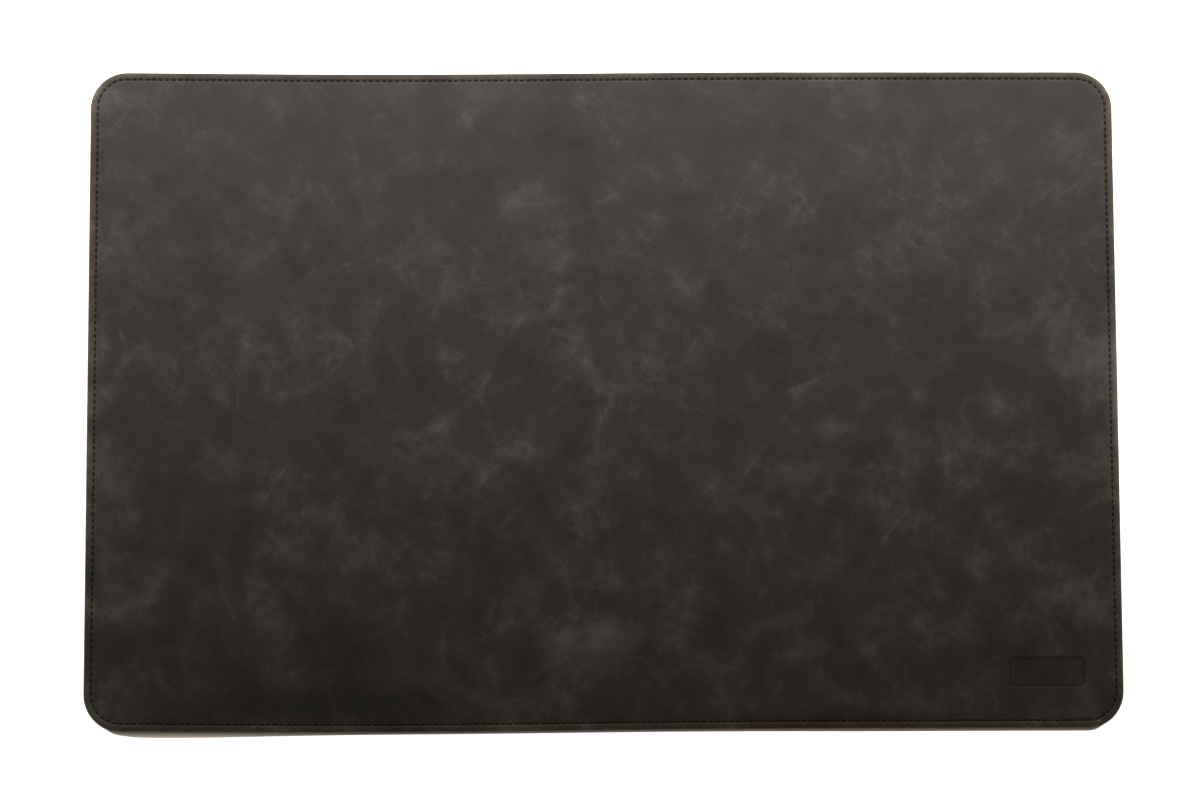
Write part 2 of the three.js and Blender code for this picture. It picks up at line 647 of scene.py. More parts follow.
SHADES = (
    Mark(-121, 9, 42, 29, 0, -0.20),
    Mark(-252, -173, 38, 42, 0, -0.22),
    Mark(-174, -174, 38, 46, 0, -0.20),
    Mark(-121, -76, 25, 18, 0, -0.13),
    Mark(-49, 33, 28, 27, 0, -0.13),
    Mark(-288, 123, 45, 21, 0, -0.11),
    Mark(75, -151, 29, 42, 0, -0.18),
    Mark(289, -67, 35, 24, 0, -0.14),
    Mark(114, 32, 42, 27, 0, -0.09),
    Mark(45, -87, 24, 27, 0, -0.12),
    Mark(226, -189, 42, 28, 0, -0.13),
    Mark(298, -187, 34, 17, 0, -0.12),
    # Painted shade in bands along the front and the back edge, which shapes how the light falls off
    # there.
    Mark(-195, -210, 150, 28, 0, -0.32),
    Mark(150, -222, 180, 22, 0, -0.20),
    Mark(-195, 176, 110, 40, 0, -0.20),
    Mark(-40, 180, 70, 34, 0, -0.14),
    Mark(110, 176, 110, 40, 0, -0.18),
)
FOLDS = (
    Mark(-222, -58, 66, 1.8, 56, 0.15),
    Mark(-180, -7, 16, 2.9, 28, 0.17),
    Mark(-248, 0, 30, 1.9, 90, 0.14),
    Mark(-327, 43, 11, 2.7, -62, 0.24),
    Mark(-175, 91, 23, 2.6, 29, 0.15),
    Mark(-90, 104, 21, 2.6, -42, 0.14),
    Mark(-57, 71, 14, 4.2, -60, 0.19),
    Mark(-60, 47, 17, 4.5, 56, 0.19),
    Mark(-80, 11, 16, 3.5, 60, 0.15),
    Mark(-1, 67, 14, 2.9, -59, 0.24),
    Mark(-67, -85, 14, 3.7, 40, 0.19),
    Mark(105, -40, 62, 2.4, 54, 0.13),
    Mark(136, 8, 28, 3.4, 24, 0.15),
    Mark(138, 136, 15, 2.9, -63, 0.19),
    Mark(233, 134, 17, 2.7, -35, 0.15),
    Mark(334, 90, 13, 2.6, -58, 0.19),
    Mark(321, 144, 24, 2.7, 35, 0.15),
    Mark(195, -90, 24, 2.6, 50, 0.17),
    Mark(-1, 135, 18, 2.9, 27, 0.17),
)


@dataclass(frozen=True)
class WaxedLeather:
    """Charcoal pull-up leather: soft clouds, brushed strokes, straight folds and a fine grain."""

    dark: Colour = linear(27, 22, 18)
    middle: Colour = linear(49, 43, 39)
    pale: Colour = linear(80, 76, 73)
    rim_wear_and_highlight_tint: Colour = (2.8, 2.7, 1.95)
    front_tint: Colour = (0.98, 1.0, 0.86)
    pressed_and_shade_tint: Colour = (0.2, 0.2, 0.2)
    front_from: tuple[float, float] = (0.1, -0.2)
    cloud: float = 64 * MM
    smoke: float = 21 * MM
    web: float = 30 * MM
    drift: float = 5 * MM
    stroke: float = 6.0 * MM
    stroke_squeeze: float = 0.3
    stroke_warp: tuple[float, float] = (30 * MM, 1.5 * MM)
    fold_warp: tuple[float, float] = (14 * MM, 0.5 * MM)
    stroke_turns: tuple[float, ...] = (22.0, 54.0, 88.0, 121.0, 153.0)
    grain: float = 1.5 * MM
    grain_depth: float = 0.06 * MM
    even_spread: float = 0.815
    even_tone: float = 0.42
    contrast: float = 1.36
    sheen_contrast_slope: float = -1.0
    roughness: float = 0.56
    gloss: float = 0.25

    def material(self) -> bpy.types.Material:
        """Builds the finish, whose marbling is painted fainter towards the back, standing in for the
        sheen there.

        Returns:
            The material.
        """
        graph = Graph("waxed_leather")
        drift = graph.warped(self.web, self.drift)
        cloud = graph.noise(self.cloud, detail=2, roughness=0.5, vector=drift)
        smoke = graph.noise(self.smoke, detail=4, roughness=0.55, vector=drift)
        web = graph.noise(self.web, detail=3, roughness=0.5, vector=drift, seed=3.0)
        web = graph.math("MULTIPLY", graph.ridge(web, 7), graph.step(cloud, 0.36, 0.6))
        grain = graph.noise(self.grain, detail=3, roughness=0.65)
        speck = graph.noise(self.grain * 2.3, detail=1, roughness=0.4)
        spread = graph.total(
            (cloud, 0.45),
            (smoke, 0.60),
            (web, 0.08),
            (self.strokes(graph), 0.09),
            (grain, 0.47),
            (graph.step(speck, 0.79, 0.82), -0.5),
            (self.marks(graph, smoke, drift), 0.85),
        )
        across = graph.add("ShaderNodeSeparateXYZ", {0: graph.place}).outputs["Y"]
        # Painted sheen: the marbling fades towards the back, as a sheen would even it out.
        contrast = graph.math("MULTIPLY_ADD", across, self.sheen_contrast_slope, self.contrast)
        spread = graph.math("SUBTRACT", spread, self.even_spread)
        tone = graph.math("MULTIPLY_ADD", spread, contrast, self.even_tone)
        colour = graph.ramp(tone, (0.05, self.dark), (0.45, self.middle), (0.95, self.pale))
        colour = graph.tinted(colour, graph.step(across, *self.front_from), self.front_tint)
        # The rim tint paints wear and highlights; the pressed tint paints heat darkening and shade.
        for name, tint in (("rim", self.rim_wear_and_highlight_tint), ("pressed", self.pressed_and_shade_tint)):
            colour = graph.tinted(colour, graph.stored(name), tint)
        dryness = graph.total((tone, 0.10), (grain, 0.06))
        roughness = graph.math("ADD", dryness, self.roughness)
        pebble = graph.noise(self.grain * 5, detail=2)
        relief = graph.total((grain, 0.7), (pebble, 0.6))
        return graph.finish(colour, roughness, relief, self.grain_depth, Specular_IOR_Level=self.gloss)

    def marks(self, graph: Graph, smoke: Socket, drift: Socket) -> Socket:
        """The marks, the hide's own and the painted light and shade, broken up by its smoke.

        Args:
            graph: The material's tree.
            smoke: The hide's smoky noise.
            drift: Coordinates that drift with the smoke.

        Returns:
            A number above 0 on pale marks and below 0 on dark ones.
        """
        soft = graph.total(*((mark.tone(graph, drift), mark.strength) for mark in BLOOMS + SHADES))
        broken = graph.math("MULTIPLY", soft, graph.math("MULTIPLY", smoke, 2.0))
        straight = graph.warped(*self.fold_warp)
        thin = graph.total(*((mark.tone(graph, straight), mark.strength) for mark in FOLDS))
        return graph.math("ADD", broken, thin)

    def strokes(self, graph: Graph) -> Socket:
        """Brushed strokes that lie several ways, each way in patches of its own.

        Args:
            graph: The material's tree.

        Returns:
            A number that is 0 between the strokes.
        """
        place = graph.warped(*self.stroke_warp)
        made = []
        for turn in self.stroke_turns:
            along = graph.turned(place, turn, self.stroke_squeeze)
            lines = graph.noise(self.stroke, detail=1.5, roughness=0.45, vector=along, seed=turn)
            patch = graph.noise(self.smoke, detail=1, roughness=0.5, seed=turn)
            lines, patch = graph.step(lines, 0.48, 0.74), graph.step(patch, 0.42, 0.62)
            made.append((graph.math("MULTIPLY", lines, patch), 1.0))
        return graph.total(*made)


@dataclass(frozen=True)
class BrushedSuede:
    """Dark suede: a short nap that lies lighter or darker where it was brushed."""

    deep: Colour = linear(25, 24, 23)
    brushed: Colour = linear(52, 50, 48)
    nap: float = 0.9 * MM
    nap_turn: float = 63.0
    nap_squeeze: float = 0.35
    nap_depth: float = 0.2 * MM
    sweep: float = 55 * MM
    sheen: float = 0.35

    def material(self) -> bpy.types.Material:
        """Builds the finish.

        Returns:
            The material.
        """
        graph = Graph("brushed_suede")
        sweep = graph.noise(self.sweep, detail=3, roughness=0.5, distortion=1.4)
        along = graph.turned(graph.place, self.nap_turn, self.nap_squeeze)
        fibre = graph.noise(self.nap, detail=4, roughness=0.7, distortion=0.6, vector=along)
        tone = graph.total((sweep, 0.55), (fibre, 0.5))
        colour = graph.ramp(tone, (0.25, self.deep), (0.85, self.brushed))
        roughness = graph.math("MULTIPLY_ADD", fibre, 0.15, 0.82)
        shine = {"Specular_IOR_Level": 0.2, "Sheen_Weight": self.sheen}
        return graph.finish(colour, roughness, fibre, self.nap_depth, **shine)


@dataclass(frozen=True)
class WaxedThread:
    """Black bonded thread with a dull shine along its fibres."""

    black: Colour = linear(7, 7, 7)
    worn: Colour = linear(20, 19, 18)
    fibre: float = 0.35 * MM
    fibre_depth: float = 0.05 * MM
    wear: float = 30 * MM

    def material(self) -> bpy.types.Material:
        """Builds the finish.

        Returns:
            The material.
        """
        graph = Graph("waxed_thread")
        fibre = graph.noise(self.fibre, detail=3, roughness=0.65)
        wear = graph.noise(self.wear, detail=2, roughness=0.5)
        tone = graph.total((fibre, 0.6), (wear, 0.4))
        colour = graph.ramp(tone, (0.35, self.black), (0.8, self.worn))
        roughness = graph.math("MULTIPLY_ADD", fibre, 0.25, 0.55)
        return graph.finish(colour, roughness, fibre, self.fibre_depth, Specular_IOR_Level=0.2)


@dataclass(frozen=True)
class EdgeCoat:
    """Edge paint: an olive satin bead, brushed on, with a few rubbed spots."""

    coat: Colour = linear(72, 66, 52)
    rubbed: Colour = linear(96, 88, 70)
    ripple: float = 3.5 * MM
    ripple_depth: float = 0.08 * MM
    rub: float = 9 * MM

    def material(self) -> bpy.types.Material:
        """Builds the finish.

        Returns:
            The material.
        """
        graph = Graph("edge_coat")
        ripple = graph.noise(self.ripple, detail=3, roughness=0.5)
        rub = graph.noise(self.rub, detail=4, roughness=0.6, distortion=0.5)
        rub = graph.step(rub, 0.56, 0.72)
        colour = graph.ramp(rub, (0.0, self.coat), (1.0, self.rubbed))
        roughness = graph.math("ADD", graph.total((ripple, 0.3), (rub, 0.2)), 0.3)
        return graph.finish(colour, roughness, ripple, self.ripple_depth, Specular_IOR_Level=0.4)


@dataclass(frozen=True)
class FibreBoard:
    """Bonded leather fibre: a brown felted board with pale and dark flecks."""

    ground: Colour = linear(92, 72, 57)
    fleck: Colour = linear(140, 116, 94)
    flock: float = 2.4 * MM
    flock_depth: float = 0.1 * MM

    def material(self) -> bpy.types.Material:
        """Builds the finish.

        Returns:
            The material.
        """
        graph = Graph("fibre_board")
        fibre = graph.noise(self.flock, detail=5, roughness=0.7, distortion=1.0)
        colour = graph.ramp(fibre, (0.3, self.ground), (0.75, self.fleck))
        roughness = graph.math("MULTIPLY_ADD", fibre, 0.1, 0.8)
        return graph.finish(colour, roughness, fibre, self.flock_depth)


@dataclass(frozen=True)
class BlankPanel:
    """A plain panel pressed into the face near the front right corner, with nothing on it."""

    middle: tuple[float, float] = (0.2983, -0.1873)
    size: tuple[float, float] = (52 * MM, 21 * MM)
    corner_radius: float = 3.5 * MM
    depth: float = 0.8 * MM
    wall: float = 0.9 * MM
    floor_heat: float = 0.2
    # Heat darkening and painted shade at the foot of the wall.
    foot_heat_and_shade: float = 0.6
    foot_place: float = 1.4
    foot_spread: float = 0.7
    mesh_step: float = 0.4 * MM
    margin: float = 2.0 * MM

    def edge_at(self, points: np.ndarray) -> np.ndarray:
        """How far points of two numbers each lie outside the panel's outline, below 0 inside it."""
        half = np.array(self.size) / 2 - self.corner_radius
        return past_outline(points - np.array(self.middle), half, self.corner_radius)

    def depth_at(self, points: np.ndarray) -> np.ndarray:
        """How deep the panel is pressed at points."""
        return self.depth * smooth_step(self.edge_at(points), 0.0, -self.wall)

    def heat_and_shade_at(self, points: np.ndarray) -> np.ndarray:
        """How far the stamp's heat has darkened the leather, with painted shade at the foot of the
        wall.

        Args:
            points: Points on the face, two numbers each.

        Returns:
            The shares of the pressed tint.
        """
        edge = self.edge_at(points)
        foot = np.exp(-((edge / self.wall + self.foot_place) ** 2) / self.foot_spread)
        return self.floor_heat * smooth_step(edge, 0.0, -self.wall) + self.foot_heat_and_shade * foot

    def refine(self, points: np.ndarray) -> np.ndarray:
        """Swaps the points near the panel for a finer grid.

        Args:
            points: A grid over the face, two numbers each.

        Returns:
            The grid with a finer patch.
        """
        middle = np.array(self.middle)
        reach = np.array(self.size) / 2 + self.margin
        clear = (np.abs(points - middle) > reach + self.mesh_step).any(axis=1)
        counts = np.ceil(2 * reach / self.mesh_step).astype(int)
        x, y = np.meshgrid(*(np.linspace(-side, side, count) for side, count in zip(reach, counts)))
        patch = np.stack([x.ravel(), y.ravel()], axis=1) + middle
        return np.concatenate([points[clear], patch])


@dataclass
class Piece:
    """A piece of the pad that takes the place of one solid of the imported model."""

    path: SeamPath
    lay: Lay
    node: str
    slot: str

    def __post_init__(self) -> None:
        """Takes the piece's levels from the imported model."""
        low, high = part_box(self.node)
        self.bottom = low.z
        self.top = high.z

    def distances(self, *shares: float) -> np.ndarray:
        """Places along the seam that repeat with its stitches, from shares of a stitch."""
        stitches = np.arange(self.path.stitches)[:, None]
        return ((stitches + np.array(shares)) * self.path.pitch).ravel()

    def show(self, made: bpy.types.Object, material: bpy.types.Material) -> None:
        """Gives a piece its material and puts it in the place of its node.

        Args:
            made: The piece.
            material: Its finish.
        """
        made.data.materials.append(material)
        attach(made, BODY)
        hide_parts(self.node)
        LOG.info("%s: %d faces", made.name, len(made.data.polygons))


@dataclass
class Sheet(Piece):
    """A closed sheet of the laminate: rings round the outline, and the flat fields they bound."""

    cut_inset: float = 0.4 * MM

    @property
    def flat_size(self) -> tuple[float, float]:
        """The sheet's length and width as it was cut."""
        return self.path.length - 2 * self.cut_inset, self.path.width - 2 * self.cut_inset

    def valley(self, inset: float, half: float) -> float:
        """The round form of a channel along the seam: 1 in its middle and 0 past its half width."""
        across = abs(inset - self.path.inset) / half
        return 0.5 + 0.5 * math.cos(math.pi * min(across, 1.0))

    def loft(
        self,
        along: np.ndarray,
        profile: list[tuple[float, np.ndarray | float]],
        fields: tuple[np.ndarray, np.ndarray],
    ) -> Skin:
        """Carries a profile round the outline and fills its two ends.

        Args:
            along: Distances along the seam.
            profile: Insets with the heights at each distance, from the underside over the rim.
            fields: Points inside the first and the last ring, three numbers each.

        Returns:
            The closed skin.
        """
        skin = Skin()
        size = len(along)
        rings = [at_level(self.path.parallel(along, inset), heights) for inset, heights in profile]
        first = skin.add_points(np.concatenate(rings))
        skin.add_bands(first, len(rings), size)
        ends = ((first, rings[0], -1), (first + (len(rings) - 1) * size, rings[-1], 1))
        for (start, ring, way), field_points in zip(ends, fields):
            triangles = fill_ring(ring[:, :2], field_points[:, :2])
            loose = skin.add_points(field_points)
            indices = np.where(triangles < size, triangles + start, triangles - size + loose)
            skin.add_faces(indices[:, ::way])
        return skin


@dataclass
class FaceLeather(Sheet):
    """The leather face: a rolled rim, a groove dented by each stitch, and the field."""

    panel: BlankPanel = field(default_factory=BlankPanel)
    edge_thickness: float = 0.4 * MM
    roll_width: float = 1.6 * MM
    roll_turns: tuple[float, ...] = (0, 14, 30, 48, 68, 90)
    bank: float = 3.0 * MM
    channel_half: float = 1.15 * MM
    channel_shares: tuple[float, ...] = (0.25, 0.5, 0.75, 0.95, 1.2)
    shoulders: tuple[float, float] = (7.4 * MM, 9.0 * MM)
    groove: float = 0.05 * MM
    dent: float = 0.85 * MM
    dent_ends: tuple[float, float] = (0.36, 0.24)
    drawn: float = 0.1
    # The share of the painted highlight on the seam walls that face the back.
    brushed: float = 0.7
    lip: float = 0.85
    lip_width: float = 0.42
    facing_from: tuple[float, float] = (0.3, 1.0)
    back_highlight_share: float = 0.5
    gap_share: float = 0.3
    pillow_drop: float = 0.25 * MM
    pillow_reach: float = 1.5 * MM
    pillow_rounding: float = 0.4 * MM
    worn_inset: float = 4.5 * MM
    rim_wear: float = 0.5
    # Painted highlights at the two back corners and painted light along the right side of the rim.
    corner_highlight: tuple[float, float] = (0.5, 0.25)
    corner_highlight_reach: float = 40 * MM
    right_painted_light: float = 0.4
    right_from: tuple[float, float] = (0.33, 0.348)
    field_inset: float = 12.0 * MM
    field_step: float = 8.0 * MM
    under_step: float = 15.0 * MM

    def insets(self) -> list[float]:
        """The insets of the rings over the rim and across the seam, from the cut edge inward.

        Returns:
            The insets from the finished edge.
        """
        roll = self.cut_inset + self.roll_width * (1 - np.cos(np.radians(self.roll_turns)))
        shares = np.array(self.channel_shares)
        shares = np.concatenate([-shares[::-1], [0.0], shares])
        channel = self.path.inset + shares * self.channel_half
        return [*roll, self.bank, *channel, *self.shoulders, self.field_inset]

    def channel(self, inset: float, along: np.ndarray) -> np.ndarray:
        """How deep the groove is at an inset, with its dent under each stitch."""
        deepest = self.groove + (self.dent - self.groove) * self.pull(along)
        return self.valley(inset, self.channel_half) * deepest

    def pull(self, along: np.ndarray) -> np.ndarray:
        """How hard the stitches pull the leather down along the seam."""
        phase = np.mod(along / self.path.pitch, 1.0)
        return smooth_step(np.abs(phase - 0.5), *self.dent_ends)

    def pale(self, inset: float, along: np.ndarray) -> np.ndarray:
        """How pale the leather is beside the seam: paled by the pull on both walls, with a painted
        highlight on the wall that faces the back at the front and back seams.

        Args:
            inset: The inset from the finished edge.
            along: Distances along the seam.

        Returns:
            The shares of the rim tint, part pull and part painted highlight.
        """
        away = (inset - self.path.inset) / self.channel_half
        inner, outer = (
            math.exp(-(((away - lip) / self.lip_width) ** 2)) for lip in (self.lip, -self.lip)
        )
        facing = self.path.stations(along)[1][:, 1]
        front, back = (smooth_step(way * facing, *self.facing_from) for way in (-1, 1))
        # Painted highlight on the wall that faces the back: the outer one at the front seam, the inner
        # one at the back seam.
        brushed = front * outer + self.back_highlight_share * back * inner
        made = self.drawn * (inner + outer) + self.brushed * brushed
        return made * (self.gap_share + (1 - self.gap_share) * self.pull(along))

    def pillow(self, inset: np.ndarray | float) -> np.ndarray | float:
        """How far the leather sinks towards the seam that holds it down."""
        away = np.hypot(inset - self.path.inset, self.pillow_rounding) - self.pillow_rounding
        return self.pillow_drop * np.exp(-away / self.pillow_reach)

    def roll(self, inset: float) -> float:
        """How far the rim has rolled down towards its thin edge.

        Args:
            inset: The inset from the finished edge.

        Returns:
            The drop from the face's top.
        """
        share = max(0.0, 1.0 - (inset - self.cut_inset) / self.roll_width)
        drop = self.top - self.bottom - self.edge_thickness - self.pillow(self.cut_inset)
        return float(drop * (1.0 - math.sqrt(1.0 - share**2)))

    def wear(self, points: np.ndarray) -> np.ndarray:
        """How worn the rim is, with painted highlights at the two back corners and painted light along
        the right side.

        Args:
            points: Points of the face, three numbers each.

        Returns:
            The wear and painted light at each point.
        """
        x, y, _ = points.T
        made = np.full(len(x), self.rim_wear)
        for side, gain in zip((-1, 1), self.corner_highlight):
            away = np.hypot(x - side * self.path.length / 2, y - self.path.width / 2)
            made += gain * np.exp(-((away / self.corner_highlight_reach) ** 2))
        return made + self.right_painted_light * smooth_step(x, *self.right_from)

    def build(self) -> bpy.types.Object:
        """Builds the face.

        Returns:
            The piece.
        """
        path = self.path
        along = self.distances(0.0, 0.15, 0.25, 0.5, 0.75, 0.85)
        profile = [(self.cut_inset, self.bottom)]
        for inset in self.insets():
            sunk = self.pillow(inset) + self.roll(inset) + self.channel(inset, along)
            profile.append((inset, self.top - sunk))
        flat = self.panel.refine(grid_inside(path, self.field_inset, self.field_step))
        sunk = self.pillow(path.inset_of(flat)) + self.panel.depth_at(flat)
        under = grid_inside(path, self.cut_inset, self.under_step)
        fields = (at_level(under, self.bottom), at_level(flat, self.top - sunk))
        skin = self.loft(along, profile, fields)
        made = skin.piece("face_leather_sewn", self.lay)
        points = np.concatenate(skin.points)
        # The rim share: the rim's wear with its painted highlights, then the seam's paling with the
        # painted highlight on its walls.
        worn = smooth_step(path.inset_of(points), self.worn_inset, 0.0) * self.wear(points)
        seam_pale_and_highlight = np.concatenate([self.pale(inset, along) for inset in self.insets()])
        worn[len(along) : len(along) + len(seam_pale_and_highlight)] += seam_pale_and_highlight
        store(made.data, "rim", worn)
        # The pressed share: heat darkening with painted shade at the foot of the panel's wall.
        store(made.data, "pressed", self.panel.heat_and_shade_at(points[:, :2]))
        return made

    def dress(self, made: bpy.types.Object) -> None:
        self.show(made, WaxedLeather().material())


@dataclass
class CoreBoard(Sheet):
    """The stiffening board, a die-cut sheet hidden inside the laminate."""

    spacing: float = 4.0 * MM
    field_step: float = 15.0 * MM

    def build(self) -> bpy.types.Object:
        """Builds the board.

        Returns:
            The piece.
        """
        along = np.arange(0.0, self.path.perimeter, self.spacing)
        levels = (self.bottom, self.top)
        profile = [(self.cut_inset, level) for level in levels]
        flat = grid_inside(self.path, self.cut_inset, self.field_step)
        under, over = (at_level(flat, level) for level in levels)
        return self.loft(along, profile, (under, over)).piece("core_board_felted", self.lay)

    def dress(self, made: bpy.types.Object) -> None:
        """Finishes the board in bonded fibre."""
        self.show(made, FibreBoard().material())


@dataclass
class BackingSuede(Sheet):
    """The suede underside, with the lower thread's channel dented by each stitch."""

    bevel: float = 0.25 * MM
    channel_half: float = 0.95 * MM
    channel_depth: float = 0.6 * MM
    channel_rings: int = 9
    bridge: float = 0.5
    field_inset: float = 9.0 * MM
    field_step: float = 12.0 * MM

    def channel(self, inset: float, along: np.ndarray) -> np.ndarray:
        """How high the channel reaches into the underside at an inset, all along the seam."""
        pull = self.bridge + (1 - self.bridge) * np.sin(math.pi * along / self.path.pitch) ** 2
        return self.channel_depth * self.valley(inset, self.channel_half) * pull

    def build(self) -> bpy.types.Object:
        """Builds the backing.

        Returns:
            The piece.
        """
        along = self.distances(0.0, 0.25, 0.5, 0.75)
        shares = np.linspace(1.0, -1.0, self.channel_rings)
        insets = [self.field_inset, *(self.path.inset + shares * self.channel_half)]
        profile = [(inset, self.bottom + self.channel(inset, along)) for inset in insets]
        profile.append((self.cut_inset + self.bevel, self.bottom))
        profile.append((self.cut_inset, self.bottom + self.bevel))
        profile.append((self.cut_inset, self.top))
        under = at_level(grid_inside(self.path, self.field_inset, self.field_step), self.bottom)
        over = at_level(grid_inside(self.path, self.cut_inset, self.field_step), self.top)
        return self.loft(along, profile, (under, over)).piece("backing_suede_napped", self.lay)

    def dress(self, made: bpy.types.Object) -> None:
        self.show(made, BrushedSuede().material())


@dataclass
class EdgePaint(Piece):
    """The domed bead of paint over the three cut edges."""

    thickness: float = 0.35 * MM
    rounding: float = 0.8 * MM
    rounding_turns: tuple[float, ...] = (0, 30, 60, 90)
    ripple: float = 0.05 * MM
    ripples: tuple[int, int] = (61, 37)
    ripple_phase: float = 1.3

    def build(self) -> bpy.types.Object:
        """Builds the bead as a hoop.

        Returns:
            The piece.
        """
        path = self.path
        along = self.distances(0.0, 0.5)
        turn = 2 * math.pi * along / path.perimeter
        many, few = self.ripples
        uneven = self.ripple * (np.sin(many * turn) + np.sin(few * turn + self.ripple_phase)) / 2
        turns = np.radians(self.rounding_turns)
        points, outward = path.stations(along)
        rings = []
        for level, way, angles in ((self.bottom, 1, turns), (self.top, -1, turns[::-1])):
            for angle in angles:
                inset = self.thickness * (1 - math.sin(angle))
                proud = (path.inset - inset) + uneven * (1 - inset / self.thickness)
                flat = points + outward * proud[:, None]
                rings.append(at_level(flat, level + way * self.rounding * (1 - math.cos(angle))))
        skin = Skin()
        first = skin.add_points(np.concatenate(rings))
        skin.add_bands(first, len(rings), len(along), closed=True)
        return skin.piece("edge_paint_bead", self.lay)

    def dress(self, made: bpy.types.Object) -> None:
        """Finishes the bead in edge paint."""
        self.show(made, EdgeCoat().material())


@dataclass
class SeamThread(Piece):
    """One thread of the lockstitch: a twisted stitch from needle hole to needle hole."""

    side: Side = Side.TOP
    surface: float = 0.0
    radius: float = 0.38 * MM
    sunk: float = 0.5 * MM
    dive: float = 0.55 * MM
    slant: float = 0.30 * MM
    span: tuple[float, float] = (0.16, 0.84)
    pinch: float = 0.6
    plies: int = 3
    ply_relief: float = 0.15
    twist_length: float = 4.6 * MM
    twist_start: float = 6.3
    corners: int = 12
    sections: int = 13
    crease: float = 80.0
    wander: float = 0.06 * MM
    wander_up: float = 0.03 * MM
    seed: int = 7

    def rings(self) -> np.ndarray:
        """Works out the rings of points round every stitch of this side.

        Returns:
            The points by stitch, section and corner.
        """
        path = self.path
        count = path.stitches
        draws = np.random.default_rng(self.seed)
        share = np.linspace(0.0, 1.0, self.sections)
        along = (np.arange(count)[:, None] + np.interp(share, (0, 1), self.span)) * path.pitch
        points, outward = path.stations(along)
        aside = self.slant * (share - 0.5) + self.wander * draws.normal(size=(count, 1))
        swell = np.sqrt(np.sin(math.pi * share))
        rise = self.dive * (swell - 1.0) + self.wander_up * draws.normal(size=(count, 1))
        level = self.surface + self.side.value * (rise - self.sunk)
        centre = np.concatenate([points + outward * aside[..., None], level[..., None]], axis=-1)
        ahead = np.gradient(centre, axis=1)
        ahead /= np.linalg.norm(ahead, axis=-1, keepdims=True)
        across = np.concatenate([outward, np.zeros((*level.shape, 1))], axis=-1)
        above = np.cross(across, ahead)
        above /= np.linalg.norm(above, axis=-1, keepdims=True)
        angle = np.arange(self.corners) * 2 * math.pi / self.corners
        start = draws.uniform(0, self.twist_start, (count, 1))
        turn = 2 * math.pi * along / self.twist_length + start
        lobe = np.cos(self.plies * (angle - turn[..., None]))
        thick = self.radius * (self.pinch + (1 - self.pinch) * swell)
        reach = thick[:, None] * (1.0 + self.ply_relief * (lobe - 1.0) / 2.0)
        rim = across[:, :, None] * np.cos(angle)[:, None] + above[:, :, None] * np.sin(angle)[:, None]
        return centre[:, :, None] + rim * reach[..., None]

    def build(self) -> bpy.types.Object:
        """Builds every stitch of this side.

        Returns:
            The piece.
        """
        skin = Skin()
        first = skin.add_points(self.rings().reshape(-1, 3))
        size = self.corners
        for stitch in range(self.path.stitches):
            start = first + stitch * self.sections * size
            skin.add_bands(start, self.sections, size)
            last = start + (self.sections - 1) * size
            skin.add_faces([list(range(start + size - 1, start - 1, -1))])
            skin.add_faces([list(range(last, last + size))])
        return skin.piece(f"{self.node}_stitches", self.lay, self.crease)

    def dress(self, made: bpy.types.Object) -> None:
        """Finishes the stitches in black thread."""
        self.show(made, WaxedThread().material())


@dataclass(frozen=True)
class Lamp:
    """A soft box."""

    name: str
    place: tuple[float, float, float]
    aim: tuple[float, float, float]
    size: tuple[float, float]
    power: float
    spread: float = 180.0
    tint: Colour = (1.0, 0.975, 0.94)

    def build(self) -> None:
        """Hangs the lamp, unseen by the camera itself."""
        light = bpy.data.lights.new(self.name, "AREA")
        light.shape = "RECTANGLE"
        light.size, light.size_y = self.size
        light.energy = self.power
        light.color = self.tint
        light.spread = math.radians(self.spread)
        hung = link(bpy.data.objects.new(self.name, light))
        hung.location = self.place
        way = Vector(self.aim) - Vector(self.place)
        hung.rotation_euler = way.to_track_quat("-Z", "Y").to_euler()
        hung.visible_camera = False


